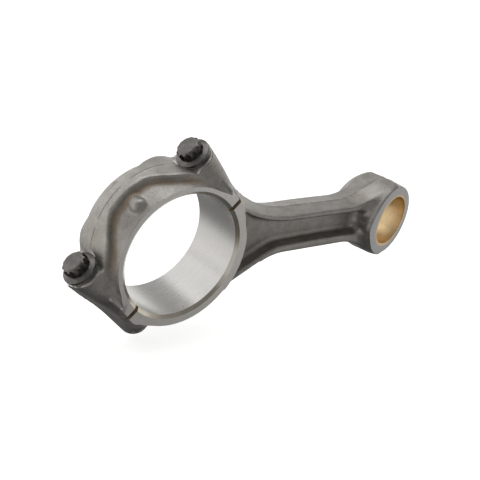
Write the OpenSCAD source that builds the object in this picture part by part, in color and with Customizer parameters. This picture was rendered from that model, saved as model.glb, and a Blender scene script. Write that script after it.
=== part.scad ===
// Connecting rod with an angled split and a tapered small end.
// X runs from the big end to the small end, Z points up across the rod, and both bores lie along Y.
// The origin is the centre of the big-end bore, on the rod's mid-plane.

/* [Main sizes] */
// Distance between the centres of the two bores
centre_distance = 262; // [215:1:320]
// Diameter of the big-end bore, without its bearing shells
big_bore_d = 104; // [86:1:125]
// Width across the big end's two thrust lands
big_w = 55; // [45:1:66]
// Inner diameter of the small-end bush, which runs on the piston pin
pin_d = 50; // [41:1:60]
// Angle of the parting face above the rod's axis
parting_angle = 45; // [40:1:50]

/* [Big end] */
// Radial width of the thrust lands outside the bore
land_t = 9; // [8:0.5:10]
// Size of the chamfer at each end of the bore
bore_chamfer = 2.6; // [2:0.2:3.2]
// Radial thickness of the rod's half of the ring behind the lands
ring_t = 14; // [12:0.5:16]
// Radial thickness of the cap at its crown
crown_t = 19; // [17:0.5:22]
// Width of the rib around the outside of the cap
rib_w = 18; // [14:1:24]
// Width of the ring behind the rod's lands
ring_w = 44; // [42:0.5:47]
// Width of the bosses that hold the bolts
boss_w = 41; // [38:0.5:41.5]
// Width of the slots cut across the lands at the parting face
slot_w = 4.5; // [3:0.5:6]
// Diameter of the round pad on each side of the cap
pad_d = 15.5; // [12:0.5:18]

/* [Bolts] */
// Thread diameter of the two cap bolts
bolt_d = 14; // [12:0.5:17]
// Length of a bolt below its head
bolt_len = 80; // [70:1:96]
// Height of the bolt seats above the parting face
seat_h = 41; // [38:0.5:46]
// Diameter of the flange under a bolt's head
flange_d = 28.4; // [26:0.2:32]
// Height of a bolt's head, flange included
head_h = 12.8; // [11:0.2:16]
// Size across the points of the twelve-point drive
points_d = 20.6; // [18:0.2:24]
// Wall left between a bolt hole and the big-end bore
bolt_wall = 1.9; // [1.5:0.1:4]

/* [Shank] */
// Height of the I-section
shank_h = 39; // [34:1:46]
// Width of the I-section across its flanges
shank_w = 35; // [30:1:42]
// Thickness of the web between the two pockets
web_t = 10; // [8:0.5:12]
// Thickness of each flange beside the pockets
flange_t = 6.5; // [5:0.5:8]

/* [Small end] */
// Wall of the bronze bush
bush_t = 2.75; // [2:0.25:4]
// Radial thickness of the eye around the bush
eye_t = 9.2; // [7:0.2:11]
// Width across the small end at the pin's centre
small_w = 40.2; // [36:0.2:46]
// Slope of each side face towards the tip, in degrees
face_taper = 11.6; // [9:0.2:13]
// Width of the small end where its sloping faces begin
small_max_w = 57.6; // [52:0.2:60]

/* [Fits] */
// Gap between the cap's and the rod's parting faces, and under the bolt heads
face_gap = 0.02; // [0.01:0.01:0.05]
// Radial running clearance of a bolt in its threaded hole
thread_gap = 0.05; // [0.02:0.01:0.1]
// Radial clearance of a bolt in the cap
cap_gap = 0.4; // [0.2:0.1:0.6]

/* [Hidden] */
$fn = 96;

forged = [0.55, 0.53, 0.50];
bronze = [0.80, 0.58, 0.30];
black_steel = [0.22, 0.21, 0.20];

// Big end, measured from the bore outwards.
bore_r = big_bore_d / 2;
land_r = bore_r + land_t;
ring_r = bore_r + ring_t;
cap_hole_r = bolt_d / 2 + cap_gap;
bolt_x = bore_r + bolt_wall + cap_hole_r;
spot_r = flange_d / 2 + 2.3;

// The cap's outline is an arc a little larger than the bore, set out towards the crown.
cap_arc_r = bore_r + 4;
cap_arc_z = bore_r + crown_t - cap_arc_r;
boss_inner_x = bolt_x - 23;
boss_outer_x = bolt_x + flange_d / 2 + 1;
boss_foot_x = boss_outer_x - 2.5;
boss_end_z = -37.5;
boss_end_r = boss_foot_x - bolt_x + 1;
boss_round = 9;

// The shank starts where its two concave edges have become straight.
top_blend_r = 98;
low_blend_r = 60;
low_slope = 27;
shank_x = bore_r + 72;
pocket_x = bore_r + 22;
pocket_r = shank_h / 2 - flange_t - 1;

// The small end's eye sits slightly towards the shank, and a nose points down the shank.
bush_r = pin_d / 2 + bush_t;
eye_r = bush_r + eye_t;
eye_x = centre_distance - 1.4;
nose_r = 8;
nose_x = eye_x - 36;
pocket_end_x = nose_x - nose_r - pocket_r - 0.6;
flare_x = centre_distance - 55;

// Turns a flat outline drawn in X and Z into a plate of the given width about the mid-plane.
module side_plate(width) {
    rotate([90, 0, 0]) linear_extrude(width, center = true) children();
}

// Tilts its children so that their X runs along the parting face and their Z points out of the cap.
module split_frame() {
    rotate([0, -parting_angle, 0]) children();
}

// Everything on the cap's side of the parting face, less half of the gap.
module cap_side() {
    split_frame() translate([-200, -100, face_gap / 2]) cube([400, 200, 200]);
}

// Everything on the rod's side of the parting face, less half of the gap.
module rod_side() {
    split_frame() translate([-500, -100, -1000 - face_gap / 2]) cube([1000, 200, 1000]);
}

// A bar along Y through the centre of a bore.
module cross_bar(x, r, width) {
    translate([x, 0, 0]) rotate([90, 0, 0]) cylinder(h = width, r = r, center = true);
}

// The chamfered big-end bore as a solid to cut away.
module big_bore_cut() {
    cut = 1;
    rotate([90, 0, 0]) rotate_extrude() polygon([
        [0, -big_w / 2 - cut],
        [bore_r + bore_chamfer + cut, -big_w / 2 - cut],
        [bore_r, -big_w / 2 + bore_chamfer],
        [bore_r, big_w / 2 - bore_chamfer],
        [bore_r + bore_chamfer + cut, big_w / 2 + cut],
        [0, big_w / 2 + cut]
    ]);
}

// Slots cut across both thrust lands, along the rod's edge of the parting face.
module slot_cut() {
    depth = 3;
    for (side = [-1, 1], face = [-1, 1])
        split_frame()
            translate([side * (bore_r + land_t / 2), face * big_w / 2, -slot_w / 2])
                cube([land_t + 4, 2 * depth, slot_w], center = true);
}

// Cross-section of a pair of bolt bosses, rounded at their outer corners.
module boss_section() {
    half_w = boss_w / 2;
    for (side = [-1, 1])
        scale([side, 1]) {
            translate([boss_inner_x - 15, -half_w])
                square([boss_outer_x - boss_round - boss_inner_x + 15, boss_w]);
            translate([boss_inner_x - 15, boss_round - half_w])
                square([boss_outer_x - boss_inner_x + 15, boss_w - 2 * boss_round]);
            for (face = [-1, 1])
                translate([boss_outer_x - boss_round, face * (half_w - boss_round)])
                    circle(boss_round);
        }
}

// Points along an arc about the centre c, from one angle to another.
function arc(c, r, from, to, steps = 20) =
    [for (i = [0:steps]) c + r * [cos(from + (to - from) * i / steps), sin(from + (to - from) * i / steps)]];

// The rod's bosses, which run down from the parting face to rounded ends.
module rod_bosses() {
    split_frame() intersection() {
        side_plate(boss_w) for (side = [-1, 1])
            scale([side, 1]) polygon(concat(
                [[boss_inner_x, 0], [boss_foot_x, 0]],
                arc([bolt_x, boss_end_z], boss_end_r, 0, -180),
                [[boss_inner_x, boss_end_z]]
            ));
        translate([0, 0, -120]) linear_extrude(240) boss_section();
    }
}

// Edge of the I-section, with a long sweep into the upper boss and a shorter one into the ring.
// Its ends lie just inside the eye and the ring.
module shank_outline() {
    half_h = shank_h / 2;
    inside = 0.97;
    flare = 24;
    polygon(concat(
        [[0, 0]],
        arc([shank_x, half_h + top_blend_r], top_blend_r, -90 - parting_angle, -90),
        [[flare_x, half_h]],
        [for (side = [1, -1]) [eye_x, 0] + inside * eye_r * [-sin(flare), side * cos(flare)]],
        [[flare_x, -half_h]],
        arc([shank_x, -half_h - low_blend_r], low_blend_r, 90, 90 + low_slope),
        [inside * ring_r * [sin(low_slope), -cos(low_slope)]]
    ));
}

// Outline of one pocket: wide beside the big end, and round at its small end.
module pocket_outline() {
    half_h = pocket_r;
    spread = 13;
    inside_x = pocket_x - 10;
    difference() {
        polygon(concat(
            [[inside_x, half_h + 0.4 * spread], [shank_x - 10, half_h]],
            arc([pocket_end_x, 0], half_h, 90, -90),
            [[shank_x - 6, -half_h], [pocket_x, -half_h - spread], [inside_x, -half_h - spread]]
        ));
        circle(pocket_x);
    }
}

// The space between the small end's two sloping faces.
module keystone() {
    rear = 70;
    front = 60;
    slope = tan(face_taper);
    linear_extrude(200, center = true) polygon([
        [centre_distance - rear, -small_w / 2 - rear * slope],
        [centre_distance + front, -small_w / 2 + front * slope],
        [centre_distance + front, small_w / 2 - front * slope],
        [centre_distance - rear, small_w / 2 + rear * slope]
    ]);
}

// The small end's thick part: the eye's arc and the nose's, joined by their common tangents.
module small_end_outline() {
    lean = acos((nose_r - eye_r) / (eye_x - nose_x));
    polygon(concat(
        arc([nose_x, 0], nose_r, 360 - lean, lean, 12),
        arc([eye_x, 0], eye_r, lean, -lean, 60)
    ));
}

// Rod: shank, upper half of the big end with its threaded bosses, and the small end's eye.
module rod_forging() {
    color(forged) difference() {
        union() {
            intersection() {
                union() {
                    side_plate(big_w) circle(land_r);
                    side_plate(ring_w) circle(ring_r);
                    rod_bosses();
                }
                rod_side();
            }
            intersection() {
                side_plate(shank_w) shank_outline();
                rod_side();
                union() {
                    keystone();
                    translate([-500, -100, -500]) cube([500 + centre_distance - 40, 200, 1000]);
                }
            }
            intersection() {
                side_plate(small_max_w) small_end_outline();
                keystone();
            }
        }
        big_bore_cut();
        slot_cut();
        for (face = [-1, 1])
            translate([0, face * (web_t + shank_w) / 2, 0]) side_plate(shank_w) pocket_outline();
        for (side = [-1, 1])
            split_frame() translate([side * bolt_x, 0, seat_h - bolt_len - 5])
                cylinder(h = bolt_len, r = bolt_d / 2 + thread_gap);
        cross_bar(centre_distance, bush_r, 2 * big_w);
    }
}

// Cap: a turned ring with sloping shoulders, a rib around its outside, and a boss for each bolt.
module bearing_cap() {
    shoulder_r = bore_r + 6.5;
    foot_r = bore_r + 13;
    color(forged) difference() {
        intersection() {
            union() {
                rotate([90, 0, 0]) rotate_extrude() polygon([
                    [0, -big_w / 2],
                    [shoulder_r, -big_w / 2],
                    [foot_r, -rib_w / 2],
                    [foot_r, rib_w / 2],
                    [shoulder_r, big_w / 2],
                    [0, big_w / 2]
                ]);
                split_frame() side_plate(rib_w) translate([0, cap_arc_z]) circle(cap_arc_r);
                cap_bosses();
                split_frame() translate([0, 0, bore_r + 12.5]) rotate([90, 0, 0])
                    cylinder(h = boss_w - 2, d = pad_d, center = true);
            }
            cap_side();
        }
        big_bore_cut();
        for (side = [-1, 1])
            split_frame() translate([side * bolt_x, 0, 0]) {
                translate([0, 0, seat_h]) cylinder(h = 60, r = spot_r);
                translate([0, 0, -1]) cylinder(h = 100, r = cap_hole_r);
            }
    }
}

// The cap's bosses, which rise from the parting face into the ends of the rib.
module cap_bosses() {
    split_frame() intersection() {
        side_plate(boss_w) union() {
            for (side = [-1, 1])
                polygon([
                    [side * boss_inner_x, 0],
                    [side * boss_foot_x, 0],
                    [side * boss_outer_x, seat_h],
                    [side * boss_inner_x, seat_h]
                ]);
            difference() {
                translate([0, cap_arc_z]) circle(cap_arc_r);
                square([2 * boss_inner_x, 1000], center = true);
            }
        }
        linear_extrude(200) boss_section();
    }
}

// Cap bolt with a round flange and a twelve-point head, standing on its seat.
module cap_bolt(side) {
    rim_h = 2.2;
    neck_r = points_d / 2 - 0.3;
    top_r = 7.6;
    across_flats = points_d * cos(30);
    tip = 1.5;
    color(black_steel) split_frame() translate([side * bolt_x, 0, seat_h + face_gap]) {
        rotate_extrude() polygon([
            [0, -bolt_len],
            [bolt_d / 2 - tip, -bolt_len],
            [bolt_d / 2, -bolt_len + tip],
            [bolt_d / 2, 0],
            [flange_d / 2, 0],
            [flange_d / 2, rim_h],
            [neck_r, rim_h + 2.4],
            [neck_r - 1.2, rim_h + 2.4],
            [0, rim_h + 2.4]
        ]);
        intersection() {
            linear_extrude(head_h) for (turn = [0, 30])
                rotate(turn) circle(d = across_flats / cos(30), $fn = 6);
            rotate_extrude() polygon([
                [0, 0],
                [points_d / 2, 0],
                [points_d / 2, head_h - 1.6],
                [top_r, head_h],
                [0, head_h]
            ]);
        }
    }
}

module upper_bolt() {
    cap_bolt(1);
}

module lower_bolt() {
    cap_bolt(-1);
}

// Bronze bush pressed into the eye and cut off level with the sloping faces.
module small_end_bush() {
    color(bronze) intersection() {
        difference() {
            cross_bar(centre_distance, bush_r, 2 * big_w);
            cross_bar(centre_distance, pin_d / 2, 3 * big_w);
        }
        keystone();
    }
}

rod_forging();
bearing_cap();
upper_bolt();
lower_bolt();
small_end_bush();
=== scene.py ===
import math

import bmesh
import bpy
import numpy as np
from mathutils import Matrix, Vector


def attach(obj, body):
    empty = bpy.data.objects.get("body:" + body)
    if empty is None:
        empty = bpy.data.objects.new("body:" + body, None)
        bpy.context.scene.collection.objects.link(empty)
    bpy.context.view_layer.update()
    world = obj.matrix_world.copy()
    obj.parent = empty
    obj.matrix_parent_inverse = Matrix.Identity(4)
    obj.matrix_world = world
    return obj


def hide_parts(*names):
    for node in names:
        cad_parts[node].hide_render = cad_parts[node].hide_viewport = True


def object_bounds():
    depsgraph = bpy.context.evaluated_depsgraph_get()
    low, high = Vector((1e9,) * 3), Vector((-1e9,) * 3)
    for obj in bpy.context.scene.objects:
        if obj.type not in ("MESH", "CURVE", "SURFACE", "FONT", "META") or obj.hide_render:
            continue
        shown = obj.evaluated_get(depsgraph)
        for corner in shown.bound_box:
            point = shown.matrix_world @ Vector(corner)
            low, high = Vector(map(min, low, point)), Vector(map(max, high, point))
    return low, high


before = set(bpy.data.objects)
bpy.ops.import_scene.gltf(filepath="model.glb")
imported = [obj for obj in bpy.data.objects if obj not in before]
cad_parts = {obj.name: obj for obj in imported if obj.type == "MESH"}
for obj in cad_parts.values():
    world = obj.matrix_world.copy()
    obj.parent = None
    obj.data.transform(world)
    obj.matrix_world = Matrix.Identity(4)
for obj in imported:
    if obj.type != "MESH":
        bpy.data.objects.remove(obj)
cad_box = [[float(value) for value in corner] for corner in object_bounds()]

# ---------------------------------------------------------------------------------------------
# Camera. It stands in front of the big end, to its left and a little above, with a 56 mm lens.
right, up, back = (0.7617, -0.6187, 0.1927), (0.1133, 0.4199, 0.9004), (-0.638, -0.664, 0.390)
camera_data = bpy.data.cameras.new("camera")
camera_data.sensor_width = 36
camera_data.lens = 56.25
camera_data.clip_start = 0.01
camera = bpy.data.objects.new("camera", camera_data)
camera.matrix_world = Matrix.LocRotScale(
    Vector((-0.3371, -0.4353, 0.2474)), Matrix((right, up, back)).transposed().to_quaternion(), None
)
bpy.context.scene.collection.objects.link(camera)
bpy.context.scene.camera = camera

# ---------------------------------------------------------------------------------------------
# Studio. A pale floor just below the object, a large softbox overhead, a second one behind it,
# and a dim surround, so that what faces the camera stays darker than what faces up.


def softbox(name, place, aim, size, power):
    """A square area light at place that faces aim, both in metres."""
    data = bpy.data.lights.new(name, "AREA")
    data.size = size
    data.energy = power
    lamp = bpy.data.objects.new(name, data)
    lamp.location = place
    lamp.rotation_euler = (Vector(aim) - Vector(place)).to_track_quat("-Z", "Y").to_euler()
    bpy.context.scene.collection.objects.link(lamp)


middle = (0.1, 0.0, 0.0)
softbox("overhead_softbox", (0.1, 0.35, 1.3), middle, 1.0, 4)
softbox("rear_softbox", (-0.4, 0.7, 0.7), (0.0, 0.0, 0.0), 0.9, 1.75)

floor_data = bpy.data.meshes.new("floor")
reach, floor_z = 12.0, cad_box[0][2] - 0.0005
corners = [(x * reach, y * reach, floor_z) for x, y in ((-1, -1), (1, -1), (1, 1), (-1, 1))]
floor_data.from_pydata(corners, [], [(0, 1, 2, 3)])
floor = bpy.data.objects.new("floor", floor_data)
bpy.context.scene.collection.objects.link(floor)
paint = bpy.data.materials.new("lit_table")
paint.use_nodes = True
table = paint.node_tree.nodes["Principled BSDF"].inputs
table["Base Color"].default_value = (0.8, 0.8, 0.8, 1)
table["Roughness"].default_value = 0.9
table["Specular IOR Level"].default_value = 0.0
table["Emission Color"].default_value = (1, 1, 1, 1)
table["Emission Strength"].default_value = 0.75
floor_data.materials.append(paint)
floor.visible_glossy = False

# The surround's light at each height, from -1 straight down to 1 straight up. Its strength of
# 1 + Y * (0.43 - 0.225 * Y) dims it on the camera's side.
levels = [
    (-1, 0.08), (-0.62, 0.27), (-0.4, 0.78), (-0.1, 0.88), (0.05, 1.0), (0.24, 0.85), (0.4, 0.45),
    (0.6, 0.36), (1, 0.45),
]
world = bpy.data.worlds.new("surround")
world.use_nodes = True
sky = world.node_tree
direction = sky.nodes.new("ShaderNodeTexCoord")
parts = sky.nodes.new("ShaderNodeSeparateXYZ")
height = sky.nodes.new("ShaderNodeMapRange")
height.inputs["From Min"].default_value = -1
ramp = sky.nodes.new("ShaderNodeValToRGB")
while len(ramp.color_ramp.elements) < len(levels):
    ramp.color_ramp.elements.new(0.5)
for stop, (place, level) in zip(ramp.color_ramp.elements, levels):
    stop.position, stop.color = place / 2 + 0.5, (level, 0.99 * level, 0.97 * level, 1)
sky.links.new(direction.outputs["Generated"], parts.inputs[0])
sky.links.new(parts.outputs["Z"], height.inputs["Value"])
sky.links.new(height.outputs["Result"], ramp.inputs["Fac"])
sky.links.new(ramp.outputs["Color"], sky.nodes["Background"].inputs["Color"])
slope, strength = [sky.nodes.new("ShaderNodeMath") for _ in range(2)]
slope.operation = strength.operation = "MULTIPLY_ADD"
slope.inputs[1].default_value, slope.inputs[2].default_value = -0.225, 0.43
strength.inputs[2].default_value = 1.0
sky.links.new(parts.outputs["Y"], slope.inputs[0])
sky.links.new(parts.outputs["Y"], strength.inputs[0])
sky.links.new(slope.outputs[0], strength.inputs[1])
sky.links.new(strength.outputs[0], sky.nodes["Background"].inputs["Strength"])
bpy.context.scene.world = world
bpy.context.scene.view_settings.view_transform = "Standard"

# ---------------------------------------------------------------------------------------------
# Rod forging: small end, I-section shank and half of the big end. Steel, drop forged in one blank with
# its cap, shot-blasted, then sawn apart, bored and milled. The blank is worked out as a distance field
# in millimetres, and the machining is cut from the field's skin.


def blend(a, b, radius):
    """Union of two fields with a hollow fillet: where both are within radius of their surfaces, the
    distance is radius less the length of (radius - a, radius - b)."""
    corner = np.hypot(np.maximum(radius - a, 0), np.maximum(radius - b, 0))
    return np.maximum(radius, np.minimum(a, b)) - corner


def trim(a, b, radius):
    """Intersection of two fields with its edge rounded to that radius."""
    return -blend(-a, -b, radius)


def ease(value, start, end):
    """0 before start and 1 after end, with 3t^2 - 2t^3 between them."""
    t = np.clip((value - start) / (end - start), 0, 1)
    return t * t * (3 - 2 * t)


def skin(field, low, high, cell):
    """Points and faces of the surface where a field is 0. Each grid cell that the surface crosses gets
    one point, at the mean of the crossings on its edges, and each crossed edge gets one face. The
    points are evened out and then slid along the field's slope until the field there is 0."""
    axes = [np.arange(a, b + cell, cell) for a, b in zip(low, high)]
    values = np.broadcast_to(field(*np.ix_(*axes)), [len(a) for a in axes])
    cells, crossings = [], []
    for k in range(3):
        p, q = (k + 1) % 3, (k + 2) % 3
        before = values.take(range(len(axes[k]) - 1), k)
        after = values.take(range(1, len(axes[k])), k)
        at = np.argwhere((before < 0) != (after < 0))
        a, b = before[tuple(at.T)], after[tuple(at.T)]
        point = np.stack([axes[j][at[:, j]] for j in range(3)], 1)
        point[:, k] += cell * a / (a - b)
        ring = np.repeat(at[:, None], 4, 1)
        ring[:, :, p] += np.array([-1, 0, 0, -1])
        ring[:, :, q] += np.array([-1, -1, 0, 0])
        ring[a >= 0] = ring[a >= 0, ::-1]
        cells.append(np.ravel_multi_index(tuple(np.moveaxis(ring, 2, 0)), values.shape))
        crossings.append(point)
    found, faces = np.unique(np.concatenate(cells), return_inverse=True)
    faces = faces.reshape(-1, 4)
    amount = np.bincount(faces.ravel())
    points = np.stack([
        np.bincount(faces.ravel(), np.repeat(axis, 4)) / amount for axis in np.concatenate(crossings).T
    ], 1)
    here, there = faces.ravel(), np.roll(faces, 1, 1).ravel()
    near = np.bincount(here, minlength=len(found)) + np.bincount(there, minlength=len(found))
    passes, evened, step, least_slope, longest = 6, 4, 0.02, 0.2, 0.6 * cell
    for passing in range(passes):
        if passing < evened:
            mean = np.stack([
                (np.bincount(here, c[there]) + np.bincount(there, c[here])) / near for c in points.T
            ], 1)
            points += 0.5 * (mean - points)
        value = field(*points.T)
        slope = np.stack([(field(*(points + d).T) - value) / step for d in step * np.eye(3)], 1)
        slide = value / np.maximum((slope * slope).sum(1), least_slope)
        points -= np.clip(slide, -longest, longest)[:, None] * slope
    return points, faces


def split_axes(x, z):
    """Place along the parting face, and height above it towards the cap."""
    return (x + z) * math.sqrt(0.5), (z - x) * math.sqrt(0.5)


bore_r, big_half_w = 52.0, 27.5
bolt_u, seat_v = 61.3, 41.0
# The bosses' outer edge on the mid-plane, as u at each v.
boss_edge = np.array([
    (-60, 73.2), (-30, 73.3), (-14, 73.2), (-3, 73.2), (10, 73.9), (22, 75.3), (34, 76.2), (41, 76.4),
    (70, 76.4),
])
boss_end_u, boss_end_v, boss_end_r = 60.6, -36.2, 12.6


def smooth_table(table, x):
    """A table's value at x, from cubic segments. Each row's slope is that between its
    neighbours."""
    rows = np.array(table, float)
    slope = np.gradient(rows[:, 1], rows[:, 0])
    i = np.clip(np.searchsorted(rows[:, 0], x) - 1, 0, len(rows) - 2)
    gap = rows[i + 1, 0] - rows[i, 0]
    t = np.clip((x - rows[i, 0]) / gap, 0, 1)
    ends = (1 + 2 * t) * (1 - t) ** 2 * rows[i, 1] + t * t * (3 - 2 * t) * rows[i + 1, 1]
    return ends + gap * (t * (1 - t) ** 2 * slope[i] - t * t * (1 - t) * slope[i + 1])


def boss_field(u, v, ay):
    """Both bolt bosses: an upright outline beside the bore, whose front stands out most at the parting
    face and falls away to the seat and to the lower end, with a lobe beside the land and a low ridge
    from there towards the seat."""
    seat_front, parting_rise, end_fall = 17.1, 10.1, 16.5
    end_draft, side_draft, side_slope, front_slope, corner_r = 0.12, 0.3, 1.044, 0.9, 10.0
    front = seat_front + parting_rise * ease(v, 46, 8) - end_fall * ease(v, -8, -43)
    end = np.hypot(np.abs(u) - boss_end_u, v - boss_end_v) - boss_end_r + end_draft * ay
    side = np.abs(u) - smooth_table(boss_edge, v) + side_draft * ay
    side = np.where(v < boss_end_v, end, side) / side_slope
    body = trim(side, (ay - front) * front_slope, corner_r)
    lobe_u, lobe_v, lobe_half, lobe_r, lobe_top = 59.6, -4.5, 4.6, 3.7, 28.2
    lobe = np.hypot(
        np.maximum(np.abs(u) - lobe_u, 0), np.maximum(np.abs(v - lobe_v) - lobe_half, 0)
    ) - lobe_r
    lobe = trim(lobe + 0.5 * np.maximum(ay - big_half_w, -7), ay - lobe_top, 1.0)
    ridge_u, ridge_v, ridge_half, ridge_r, sunk = 62.2, 12, 8, 1.3, 0.7
    along = np.maximum(np.abs(v - ridge_v) - ridge_half, 0)
    ridge = np.hypot(np.hypot(np.abs(u) - ridge_u, along), ay - front + sunk) - ridge_r
    seat_trim = v - (seat_v + 0.3)
    return trim(blend(blend(body, lobe, 2.5), ridge, 1.6), seat_trim, 0.8)


# The upper edge's fall from the mid-plane to the face, and the pocket's lower wall, at each x.
upper_edge = np.array([
    (40, 10), (54, 10.5), (62, 10.9), (70, 9.5), (80, 7.3), (90, 5.5), (100, 4.1), (112, 3.0),
    (125, 2.5), (300, 2.5),
])
pocket_low = np.array([
    (60, -36.5), (70, -31.2), (80, -26), (90, -21), (100, -16.2), (108, -13.0), (116, -11.6),
    (126, -11.2), (300, -11.2),
])


def flare(x):
    """Height of the shank's edge: level up to the start, then an arc that turns into a straight lean."""
    start, radius, lean, level = 196.9, 60.0, math.radians(20), 20
    run = np.clip(x - start, 0, radius * math.sin(lean))
    bend = radius - np.sqrt(radius**2 - run**2)
    return level + bend + np.maximum(x - start - radius * math.sin(lean), 0) * math.tan(lean)


def shank_field(x, z, ay):
    """The I-section: its upper and lower edges are functions of x that lean in from the mid-plane to the
    faces, and the pocket's two long walls lean the other way. Near the ring both edges are arcs, and the
    lower one is a straight line before its arc."""
    rail_half_w, web_half_w, floor_lean, rail_r, web_fillet = 17.5, 5, 0.2, 1.5, 3.5
    level = ay / rail_half_w
    sweep = 118 - np.sqrt(np.maximum(98.0**2 - np.minimum(x - 125, 0) ** 2, 1))
    top = np.where(x < 125, sweep, flare(x)) - level * smooth_table(upper_edge, x)
    lean = math.radians(27)
    line = -66 / math.cos(lean) + x * math.tan(lean)
    curve = -80 + np.sqrt(np.maximum(3600 - np.clip(x - 122, -60, 0) ** 2, 0))
    low = np.where(x < 122 - 60 * math.sin(lean), line + 0.35, curve)
    low = np.where(x > 122, -flare(x), low) + level * 2.3
    top_slope = np.clip((125 - x) / 75, 0, 1.2) + np.where(x > 212, 0.42, 0)
    low_slope = np.clip((122 - x) / 53, 0, 0.51) + np.where(x > 212, 0.42, 0)
    above = (z - top) / np.hypot(1.0, np.hypot(top_slope, 0.15 + 0.6 * np.clip((110 - x) / 60, 0, 1)))
    below = (low - z) / np.hypot(1.0, np.hypot(low_slope, 0.13))
    outer = np.maximum(np.maximum(above, below), x - 255)
    inner_top = np.where(x < 125, 153.6 - np.sqrt(140.0**2 - np.clip(x - 125, -80, 0) ** 2), 13.6)
    inner = np.maximum(z - inner_top, smooth_table(pocket_low, x) - z)
    inner = inner + floor_lean * (rail_half_w - ay)
    rails = trim(-inner / 1.06, ay - rail_half_w, rail_r)
    return blend(rails, ay - web_half_w, web_fillet), outer


eye_x, eye_r, nose_x, nose_r = 260.2, 36.8, 229.0, 10.9
pin_x, slope_of_face, half_w_at_pin = 262.0, math.tan(math.radians(11.6)), 20.1


def eye_distance(x, z):
    """Distance to the small end's outline, two circles joined by their tangents: from the circle that a
    point lies beside, or from the tangent where it lies between them."""
    along, across = x - nose_x, np.abs(z)
    lean = (nose_r - eye_r) / (eye_x - nose_x)
    level = math.sqrt(1 - lean * lean)
    place = across * -lean + along * level
    between = across * level + along * lean - nose_r
    beyond = np.hypot(across, x - eye_x) - eye_r
    nose = np.hypot(along, across) - nose_r
    return np.where(place < 0, nose, np.where(place > level * (eye_x - nose_x), beyond, between))


def rod_field(x, y, z):
    """Distance to the rod half of the blank: ring, bosses, I-section and small end. The bore is left
    solid down to a radius of 46, and each fillet is wider where the real one is."""
    ay, (u, v) = np.abs(y), split_axes(x, z)
    r = np.hypot(x, z)
    ring = trim((r - 66 + 0.171 * ay) * 0.986, ay - 28.4, 1.5)
    web, outer = shank_field(x, z, ay)
    cove = blend(ay - 5, (r - 65 + 0.171 * ay) * 0.986, 23.0)
    inside = blend(web, np.maximum(cove, ay - 27), 3.5)
    shank = trim(inside, outer, 2.4)
    big = blend(ring, boss_field(u, v, ay), 5.0 + 5 * ease(-v, 4, 24))
    big = np.maximum(big, v - 3)
    rod = blend(big, np.maximum(shank, 52 - x), 0.6 + 5 * ease(-v, 4, 22) * ease(30 - z, 0, 25))
    allowance, face_slope = 1.2, -0.98
    face = (half_w_at_pin - slope_of_face * (x - pin_x) + allowance - ay) * face_slope
    eye = trim(eye_distance(x, z) + 0.03 * ay, np.maximum(face, ay - 28.7), 3.5)
    rod = blend(rod, eye, 9.0)
    flash = 0.35 * np.exp(-(ay / 0.7) ** 2)
    return np.maximum(rod - flash, 46 - r)


class Wire:
    """A shader socket that can be used in Python sums: each operator adds the Math node that does it."""

    def __init__(self, finish, socket):
        self.finish, self.socket = finish, socket

    def _sum(self, operation, *values):
        return self.finish.node("ShaderNodeMath", {"operation": operation}, dict(enumerate(values)))

    def __add__(self, other):
        return self._sum("ADD", self, other)

    def __sub__(self, other):
        return self._sum("SUBTRACT", self, other)

    def __rsub__(self, other):
        return self._sum("SUBTRACT", other, self)

    def __mul__(self, other):
        return self._sum("MULTIPLY", self, other)

    def __abs__(self):
        return self._sum("ABSOLUTE", self)

    __radd__, __rmul__ = __add__, __mul__

    def band(self, start, end):
        """0 before start, 1 after end and smooth between. Where start is larger, it runs the
        other way."""
        values = {"Value": self, "From Min": start, "From Max": end}
        return self.finish.node("ShaderNodeMapRange", {"interpolation_type": "SMOOTHSTEP"}, values)


class Finish:
    """A material being put together from nodes."""

    def __init__(self, name):
        self.material = bpy.data.materials.new(name)
        self.material.use_nodes = True
        self.tree = self.material.node_tree
        self.shader = self.tree.nodes["Principled BSDF"]
        self.place = self.node("ShaderNodeTexCoord", output="Object")

    def node(self, kind, settings=None, values=None, output=0):
        """Any node: its type, its settings, its sockets' values or wires, and the output wanted."""
        made = self.tree.nodes.new(kind)
        for key, value in (settings or {}).items():
            setattr(made, key, value)
        for key, value in (values or {}).items():
            self.feed(made.inputs[key], value)
        return Wire(self, made.outputs[output])

    def feed(self, socket, value):
        if isinstance(value, Wire):
            self.tree.links.new(value.socket, socket)
        else:
            socket.default_value = value

    def wear(self, **values):
        """Sets or links the surface shader's own sockets, named with _ for each space."""
        for key, value in values.items():
            self.feed(self.shader.inputs[key.replace("_", " ")], value)

    def noise(self, scale, detail=3.0, roughness=0.5, place=None):
        """Noise with that many lumps to the metre."""
        values = {
            "Vector": place or self.place, "Scale": scale, "Detail": detail, "Roughness": roughness,
        }
        return self.node("ShaderNodeTexNoise", None, values)

    def mix(self, share, a, b):
        """Colour a where share is 0 and colour b where it is 1."""
        return self.node("ShaderNodeMix", {"data_type": "RGBA"}, {0: share, 6: a, 7: b}, 2)

    def relief(self, height, depth, strength=1.0, under=None):
        """A bump of that depth in metres, laid over another where one is given."""
        values = {"Height": height, "Distance": depth, "Strength": strength}
        return self.node("ShaderNodeBump", None, values | ({"Normal": under} if under else {}))

    def axes(self):
        """X, Y and Z in millimetres."""
        return [
            self.node("ShaderNodeSeparateXYZ", None, {0: self.place}, axis) * 1000 for axis in "XYZ"
        ]

    def stretched(self, x, y, z):
        """The place with its three axes scaled by these."""
        values = {0: self.place, 1: (x, y, z)}
        return self.node("ShaderNodeVectorMath", {"operation": "MULTIPLY"}, values)


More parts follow.
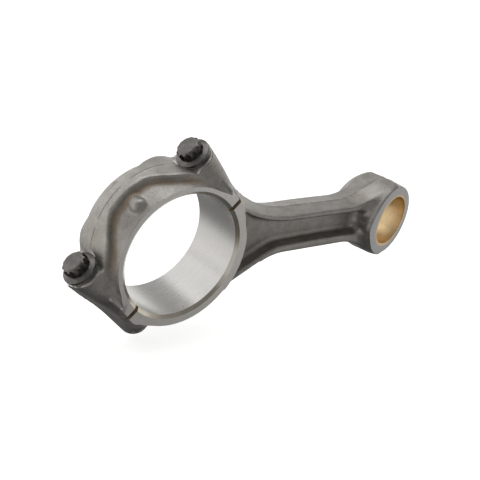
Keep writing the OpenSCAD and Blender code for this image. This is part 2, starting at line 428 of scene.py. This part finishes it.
def forged_finish(name, stained):
    """Shot-blasted forging: dull grey with fine pits, faint blotches left by the scale, a darker line of
    painted shade along the trimmed flash on the mid-plane, and brown stain in the cap's shoulder where
    stained is set."""
    f = Finish(name)
    x, y, z = f.axes()
    blotch = f.noise(110, 4, 0.6)
    pits = f.noise(1300, 2, 0.6)
    grain = f.noise(520, 3, 0.65)
    dull, clean, speck = (0.29, 0.275, 0.257, 1), (0.4, 0.384, 0.364, 1), (0.5, 0.485, 0.465, 1)
    scale_brown, flash_line_shade, rust = (0.3, 0.25, 0.2, 1), (0.09, 0.08, 0.07, 1), (0.27, 0.19, 0.11, 1)
    colour = f.mix(blotch.band(0.3, 0.7), dull, clean)
    colour = f.mix(pits.band(0.42, 0.66) * 0.6, colour, speck)
    warm = f.noise(38, 3, 0.6).band(0.5, 0.72)
    colour = f.mix(warm * 0.35, colour, scale_brown)
    # Painted shade: a thin dark line along the mid-plane, standing in for the shade at the edge of the
    # flash ridge.
    line = abs(y).band(0.75, 0.2) * f.noise(60, 2).band(0.38, 0.5)
    colour = f.mix(line * 0.6, colour, flash_line_shade)
    rough = 0.33 + 0.14 * grain + 0.06 * blotch
    if stained:
        u, v = (x + z) * math.sqrt(0.5), (z - x) * math.sqrt(0.5)
        beside = abs(y) - 9 - 11.5 * abs(u).band(14, 42)
        groove = beside.band(-1.5, 1.2) * beside.band(7.5, 2.0) * v.band(22, 46)
        dirt = groove * (0.2 + 1.1 * f.noise(70, 4, 0.7))
        colour = f.mix(dirt.band(0.1, 0.9) * 0.62, colour, rust)
        rough = rough + dirt * 0.15
    bump = f.relief(grain, 0.0005, 0.5)
    bump = f.relief(pits, 0.00025, 0.7, bump)
    f.wear(Base_Color=colour, Roughness=rough, Metallic=1.0, Normal=bump)
    return f.material


def cut_finish(name, colour, rough, across, around, depth, tint=None):
    """Machined steel with fine tool lines. The lines come from noise that is stretched along the cut, so
    it is fine in one direction, by across, and coarse in the other, by around. Part of the surface takes
    the tint, where one is given."""
    f = Finish(name)
    lines = f.noise(1.0, 2, 0.6, f.stretched(around, across, around))
    cloud = f.noise(30, 3, 0.5)
    base = f.mix(lines.band(0.3, 0.7), tuple(0.9 * c for c in colour) + (1,), tuple(colour) + (1,))
    if tint:
        base = f.mix(cloud.band(0.42, 0.68) * 0.5, base, tuple(tint) + (1,))
    f.wear(
        Base_Color=base, Roughness=rough + 0.1 * lines + 0.06 * cloud, Metallic=1.0,
        Normal=f.relief(lines, depth, 0.4),
    )
    return f.material


rod_skin = forged_finish("forged_rod", False)
ground = cut_finish("ground_bore", (0.6, 0.59, 0.575), 0.19, 2600, 60, 0.00004)
milled = cut_finish("milled_land", (0.8, 0.785, 0.765), 0.3, 500, 420, 0.00005, (0.72, 0.67, 0.6))
straw = (0.32, 0.25, 0.13)
chamfer = cut_finish("bright_chamfer", (0.86, 0.83, 0.75), 0.1, 1500, 40, 0.00003, straw)
sawn = cut_finish("sawn_slot", (0.46, 0.39, 0.3), 0.45, 300, 300, 0.00008)
machined = cut_finish("machined_face", (0.46, 0.46, 0.465), 0.36, 500, 420, 0.00005)
rod_finishes = [rod_skin, ground, milled, chamfer, sawn, machined]
SKIN, GROUND, MILLED, CHAMFER, SAWN, MACHINED = range(6)


def solid(name, points, faces, finishes, index=0):
    """An object from points in millimetres. Its faces take the finish at index, or each at its own."""
    data = bpy.data.meshes.new(name)
    data.from_pydata((np.asarray(points) / 1000).tolist(), [], faces)
    for finish in finishes:
        data.materials.append(finish)
    data.polygons.foreach_set("material_index", np.broadcast_to(index, len(faces)).astype(np.int32))
    data.polygons.foreach_set("use_smooth", np.ones(len(faces), bool))
    data.update()
    made = bpy.data.objects.new(name, data)
    bpy.context.scene.collection.objects.link(made)
    return made


def placed(points, axes, origin=(0, 0, 0)):
    """Points from a tool's own axes: each axis's direction in the row frame, and its origin."""
    return points @ np.array(axes, float) + np.array(origin, float)


# A tool's own X, Y and Z in the row frame: bored along the crankpin, the same with X along the parting
# face, bored along the bolts, and square to the frame.
lean = math.sqrt(0.5)
PLAN = ((1, 0, 0), (0, 0, 1), (0, -1, 0))
SPLIT_PLAN = ((lean, 0, lean), (-lean, 0, lean), (0, -1, 0))
BOLT_LINE = ((lean, 0, lean), (0, 1, 0), (-lean, 0, lean))
FRAME = ((1, 0, 0), (0, 1, 0), (0, 0, 1))


def turned(profile, steps=192):
    """A lathed bar about Z: each (radius, height) of the profile becomes a circle, faces join the
    circles, and a disc closes each end."""
    radius, height = np.array(profile, float).T
    t = np.linspace(0, 2 * np.pi, steps, endpoint=False)
    points = np.stack([
        radius[:, None] * np.cos(t), radius[:, None] * np.sin(t), height[:, None] + 0 * t
    ], 2).reshape(-1, 3)
    i = np.arange(steps)
    j = (i + 1) % steps
    starts = steps * np.arange(len(radius) - 1)
    rings = [np.stack([k + i, k + j, k + steps + j, k + steps + i], 1) for k in starts]
    ends = [i[::-1].tolist(), (len(points) - steps + i).tolist()]
    return points, np.concatenate(rings).tolist() + ends


def prism(outline, low, high):
    """A bar along Z whose ends are an outline in X and Y, given anticlockwise."""
    flat = np.array(outline, float)
    n = len(flat)
    i = np.arange(n)
    points = np.concatenate([np.insert(flat, 2, h, axis=1) for h in (low, high)])
    sides = np.stack([i, (i + 1) % n, (i + 1) % n + n, i + n], 1)
    return points, sides.tolist() + [i[::-1].tolist(), (i + n).tolist()]


def rectangle(left, low, right, high):
    """A rectangle's corners, anticlockwise."""
    return [(left, low), (right, low), (right, high), (left, high)]


def machine(body, tools, crease=38):
    """Cuts each tool out of a body, leaving the tool's finish on the cut, and creases the edges that
    turn by more than that many degrees."""
    for tool in tools:
        cut = body.modifiers.new(tool.name, "BOOLEAN")
        cut.operation, cut.solver, cut.object = "DIFFERENCE", "MANIFOLD", tool
    bpy.context.view_layer.update()
    ready = body.evaluated_get(bpy.context.evaluated_depsgraph_get())
    cut_mesh = bpy.data.meshes.new_from_object(ready)
    body.modifiers.clear()
    body.data = cut_mesh
    cut_mesh.set_sharp_from_angle(angle=math.radians(crease))
    for tool in tools:
        bpy.data.objects.remove(tool)


def tool(shape, axes, origin, finishes, index):
    """A cutter from its own points and faces. Its cuts take the finish at index."""
    points, faces = shape
    return solid("tool", placed(points, axes, origin), faces, finishes, index)


def big_end_tools(finishes):
    """The bore with its two chamfers, and the two milled lands."""
    chamfer_start, chamfer_slope, past, steps = 25.1, 1.19, 31, 256
    mouth_r = bore_r + chamfer_slope * (past - chamfer_start)
    bore = turned([
        (mouth_r, -past), (bore_r, -chamfer_start), (bore_r, chamfer_start), (mouth_r, past)
    ], steps)
    finish = np.repeat([CHAMFER, GROUND, CHAMFER, MILLED], (steps, steps, steps, 2))
    tools = [tool(bore, PLAN, (0, 0, 0), finishes, finish)]
    land_r, land_cut = 67, 2
    land = turned([(land_r, -land_cut), (land_r, land_cut)], 96)
    for face in (-1, 1):
        tools.append(tool(land, PLAN, (0, face * (big_half_w + land_cut), 0), finishes, MILLED))
    return tools


# The grid starts where no edge of the skin is shared by four faces.
points, faces = skin(rod_field, (-90.3, -32.85, -90.15), (300, 32, 90), 1.25)
rod = solid("connecting_rod", points, faces.tolist(), rod_finishes, SKIN)
half_gap, far, deep, past = 0.01, 200, 120, 60
bore_centre = (0, 0, 0)
tools = big_end_tools(rod_finishes)
cap_side = prism(rectangle(-far, -half_gap, far, deep), -past, past)
tools.append(tool(cap_side, SPLIT_PLAN, bore_centre, rod_finishes, MILLED))
slot_w, slot_depth, thread_hole_r, hole_end, eye_bore_r = 3.8, 3.2, 7.05, -44, 27.75
thread_hole = turned([(thread_hole_r, hole_end), (thread_hole_r, 3)], 64)
for side in (-1, 1):
    inner, outer = sorted((side * (bore_r - 1), side * (bore_r + 13)))
    for face in (-1, 1):
        low, high = sorted((-face * big_half_w * 1.2, -face * (big_half_w - slot_depth)))
        slot = prism(rectangle(inner, -slot_w, outer, 2), low, high)
        tools.append(tool(slot, SPLIT_PLAN, bore_centre, rod_finishes, SAWN))
    line = (side * bolt_u * lean, 0, side * bolt_u * lean)
    tools.append(tool(thread_hole, BOLT_LINE, line, rod_finishes, MILLED))
eye_bore = turned([(eye_bore_r, -40), (eye_bore_r, 40)], 160)
tools.append(tool(eye_bore, PLAN, (pin_x, 0, 0), rod_finishes, MACHINED))
for face in (-1, 1):
    wedge = [(x, face * (half_w_at_pin - slope_of_face * (x - pin_x))) for x in (205, 310)]
    wedge += [(310, face * 40), (205, face * 40)]
    tools.append(tool(prism(wedge[::face], -past, past), FRAME, bore_centre, rod_finishes, MACHINED))
machine(rod, tools)
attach(rod, "rod")
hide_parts("rod_forging")

# ---------------------------------------------------------------------------------------------
# Small-end bush. A rolled bronze sleeve pressed into the eye, cut off with the sloping faces and
# bored in place, with a small chamfer at each mouth.
mouth_r, pin_bore_r, chamfer_depth = 25.6, 25.0, 0.6
radius = np.array([eye_bore_r, mouth_r, pin_bore_r, pin_bore_r, mouth_r, eye_bore_r])
inset = chamfer_depth * np.array([0, 0, 1, 1, 0, 0])
end = np.array([-1, -1, -1, 1, 1, 1])
t = np.linspace(0, 2 * np.pi, 160, endpoint=False)
x = pin_x + radius[:, None] * np.cos(t)
z = radius[:, None] * np.sin(t)
y = end[:, None] * (half_w_at_pin - slope_of_face * (x - pin_x) - inset[:, None])
i, k = np.meshgrid(np.arange(len(t)), np.arange(len(radius)))
j, m = (i + 1) % len(t), (k + 1) % len(radius)
loops = np.stack([k * len(t) + i, k * len(t) + j, m * len(t) + j, m * len(t) + i], 2).reshape(-1, 4)

f = Finish("bored_bronze")
turning = f.noise(1.0, 2, 0.6, f.stretched(70, 1700, 70))
cloud = f.noise(34, 3, 0.55)
base = f.mix(cloud.band(0.35, 0.65), (0.52, 0.35, 0.17, 1), (0.68, 0.51, 0.3, 1))
base = f.mix(turning.band(0.35, 0.75) * 0.35, base, (0.9, 0.76, 0.52, 1))
f.wear(
    Base_Color=base, Metallic=1.0, Roughness=0.24 + 0.14 * cloud + 0.08 * turning,
    Normal=f.relief(turning, 0.00006, 0.5),
)
bush = solid("bronze_bush", np.stack([x, y, z], 2).reshape(-1, 3), loops.tolist(), [f.material])
bush.data.set_sharp_from_angle(angle=math.radians(30))
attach(bush, "rod")
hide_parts("small_end_bush")

# ---------------------------------------------------------------------------------------------
# Bearing cap. The other half of the same steel blank, bolted to the rod at the parting face: a ring
# that narrows to a shoulder, a rib round its outside that widens into the two bolt seats, and a round
# pad on each side of the crown.


def cap_field(x, y, z):
    """Distance to the cap half of the blank. The ring's wall turns into a cone above the parting face,
    the rib is an arc about a point above the bore's centre, and the rear pad is the lower one."""
    ay, (u, v) = np.abs(y), split_axes(x, z)
    r = np.hypot(x, z)
    share = ease(v, 2, 22)
    wall = r - (66 - 0.171 * ay) * (1 - share) - (68.2 - 0.355 * np.maximum(ay, 8)) * share
    ring = trim(wall * 0.95, ay - 28.4, 1.0)
    rib_v, rib_r, rib_half_w, widening, shoulder = 15, 56, 9, 11.5, 1.7
    half = rib_half_w + widening * ease(np.abs(u), 14, 42)
    crown = np.hypot(u, v - rib_v) - rib_r - shoulder * ease(np.abs(u), 32, 48) + 0.04 * ay
    rib = trim(crown, (ay - half) * 0.88, 3.0)
    cap = blend(ring, rib, 2.6)
    cap = blend(cap, boss_field(u, v, ay), 2.2)
    pad_v, pad_r, pad_front, pad_rear = 59.6, 6.9, 22.8, 20.2
    pad = trim(np.hypot(u, v - pad_v) - pad_r, ay - np.where(y < 0, pad_front, pad_rear), 4.6)
    flash = 0.35 * np.exp(-(ay / 0.7) ** 2)
    cap = blend(cap, pad, 1.8) - flash
    return np.maximum(np.maximum(cap, -v - 3), 46 - r)


cap_skin = forged_finish("forged_cap", True)
bright = cut_finish("bright_seat", (0.95, 0.94, 0.92), 0.3, 400, 400, 0.00004)
cap_finishes = [cap_skin, ground, milled, chamfer, sawn, machined, bright]
BRIGHT = 6
points, faces = skin(cap_field, (-98, -31, -62), (62, 31, 98), 1.1)
cap = solid("bearing_cap_forging", points, faces.tolist(), cap_finishes, SKIN)
tools = big_end_tools(cap_finishes)
rod_side = prism(rectangle(-far, -deep, far, half_gap), -past, past)
tools.append(tool(rod_side, SPLIT_PLAN, bore_centre, cap_finishes, MILLED))
clear_hole_r, spot_r = 7.4, 15.8
clear_hole = turned([(clear_hole_r, -4), (clear_hole_r, 60)], 64)
spot_face = turned([(spot_r, seat_v), (spot_r, 80)], 96)
for side in (-1, 1):
    line = (side * bolt_u * lean, 0, side * bolt_u * lean)
    tools.append(tool(clear_hole, BOLT_LINE, line, cap_finishes, MILLED))
    tools.append(tool(spot_face, BOLT_LINE, line, cap_finishes, BRIGHT))
machine(cap, tools)
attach(cap, "cap")
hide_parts("bearing_cap")

# ---------------------------------------------------------------------------------------------
# Cap bolts. Two M14 x 80 bolts of hardened steel with a black oxide finish, screwed through the cap
# into the rod. Each has a rolled thread, a round flange with a coned top and a twelve-point head.
thread_r, pitch, thread_depth, thread_top, bolt_len = 7.0, 1.5, 0.85, -34.0, 80.0
flange_r, head_top, point_r, top_r = 14.2, 12.8, 10.3, 7.6
turns, rows_per_pitch, sharpening = 96, 8, 1.55
t = np.linspace(0, 2 * np.pi, turns, endpoint=False)


def hexagon(angle):
    """Radius of a hexagon at an angle, for points one unit out: the flat's distance over the cosine of
    the angle from its middle."""
    return math.cos(math.pi / 6) / np.cos((angle + math.pi / 6) % (math.pi / 3) - math.pi / 6)


star = point_r * np.maximum(hexagon(t), hexagon(t + math.pi / 6))
star = point_r - (point_r - star) * sharpening
# Each row is a ring: its radius at each angle, and its height. The first rows are the point and the
# thread, whose groove winds up by one pitch a turn and runs out at its top.
heights = np.arange(-bolt_len + 1.6, thread_top, pitch / rows_per_pitch)
phase = (heights[:, None] / pitch - t / (2 * np.pi)) % 1.0
run_out = ease(heights, thread_top, thread_top - 3)[:, None]
groove = thread_depth * (1 - np.abs(2 * phase - 1)) * run_out
rows = [(0 * t, -bolt_len), (5.2 + 0 * t, -bolt_len), (5.9 + 0 * t, -bolt_len + 0.6)]
rows += list(zip(thread_r - groove, heights))
# The plain shank, then the flange with its undercut and its coned top.
rows += [(radius + 0 * t, height) for radius, height in (
    (6.95, -33.5), (6.95, -1.6), (7.0, -0.6), (6.98, 0.0), (13.1, 0.0), (13.35, 0.2), (13.4, 1.3),
    (13.9, 1.6), (flange_r - 0.08, 1.8), (flange_r, 2.1), (flange_r, 3.5), (flange_r - 0.15, 3.8),
    (flange_r - 0.5, 3.95), (11.6, 4.7), (10.7, 5.2),
)]
# The twelve-point head, rounded over at its top, and the shallow dish in it.
rows += [(np.minimum(star, limit), height) for limit, height in (
    (10.2, 5.3), (10.0, 5.5), (point_r, 5.8), (point_r, 11.0), (9.9, 11.45), (8.9, 12.1),
    (top_r + 0.35, 12.7), (top_r, head_top),
)]
dish = 0.12
rows += [(radius + 0 * t, height) for radius, height in (
    (top_r - 0.5, head_top), (top_r - 0.9, head_top - dish), (0, head_top - dish)
)]
reach = np.stack([row[0] for row in rows])
level = np.array([row[1] for row in rows])[:, None] + 0 * t
shape = np.stack([reach * np.cos(t), reach * np.sin(t), level], 2).reshape(-1, 3)
i, k = np.meshgrid(np.arange(turns), np.arange(len(rows) - 1))
j = (i + 1) % turns
low, high = k * turns, (k + 1) * turns
loops = np.stack([low + i, low + j, high + j, high + i], 2).reshape(-1, 4)

f = Finish("black_oxide")
cloud = f.noise(240, 4, 0.6)
fine = f.noise(1500, 2, 0.6)
base = f.mix(cloud.band(0.35, 0.7), (0.12, 0.114, 0.107, 1), (0.175, 0.168, 0.16, 1))
f.wear(
    Base_Color=base, Metallic=1.0, Roughness=0.27 + 0.12 * cloud,
    Normal=f.relief(fine, 0.00012, 0.4),
)
for name, side in (("upper", 1), ("lower", -1)):
    origin = np.array(BOLT_LINE[0]) * side * bolt_u + np.array(BOLT_LINE[2]) * (seat_v + 0.02)
    points = placed(shape, BOLT_LINE, origin)
    bolt = solid(name + "_cap_bolt_steel", points, loops.tolist(), [f.material])
    work = bmesh.new()
    work.from_mesh(bolt.data)
    bmesh.ops.remove_doubles(work, verts=work.verts, dist=1e-7)
    work.to_mesh(bolt.data)
    work.free()
    bolt.data.set_sharp_from_angle(angle=math.radians(32))
    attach(bolt, name + "_cap_bolt")
    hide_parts(name + "_bolt")
